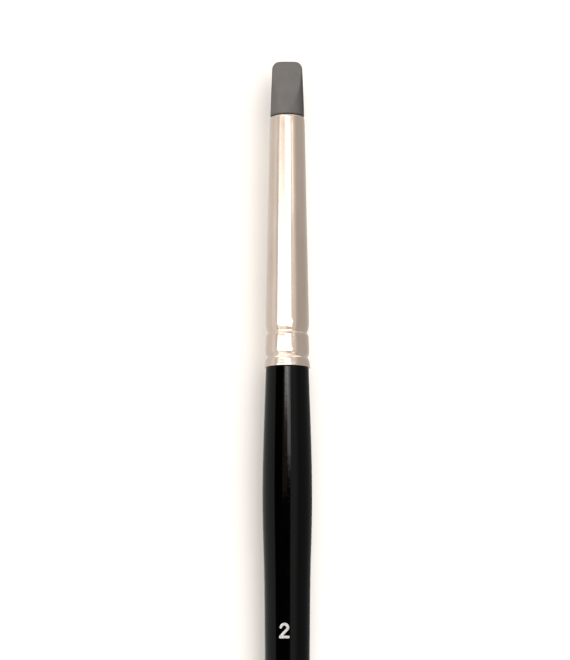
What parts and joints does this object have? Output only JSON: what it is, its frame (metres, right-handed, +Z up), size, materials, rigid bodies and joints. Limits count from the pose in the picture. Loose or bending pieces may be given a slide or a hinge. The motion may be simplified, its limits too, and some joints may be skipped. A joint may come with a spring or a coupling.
{
  "type": "silicone tip paint brush",
  "caption": "Slim artist's paint shaper: flat chisel tip of grey silicone, tapered crimped metal ferrule, and a round black lacquered wooden handle with a soft belly and long taper.",
  "frame": {"origin": "bottom centre of the bounding box, on the surface that the brush lies on", "axes": "+Y along the brush towards its tip, +Z up; the chisel's flat faces look up and down, and the brush lies on its belly and its tail, so its axis rises 0.64 degrees towards the tip"},
  "size_m": [0.007, 0.19, 0.007],
  "materials": {
    "silicone": "matte",
    "nickel_plate": "satin",
    "black_lacquer": "gloss",
    "epoxy": "gloss",
    "size_print": "matte"
  },
  "bodies": {
    "root": {"silicone_tip": "silicone", "ferrule": "nickel_plate", "handle": "black_lacquer", "tip_adhesive": "epoxy", "tenon_adhesive": "epoxy"}
  },
  "joints": []
}
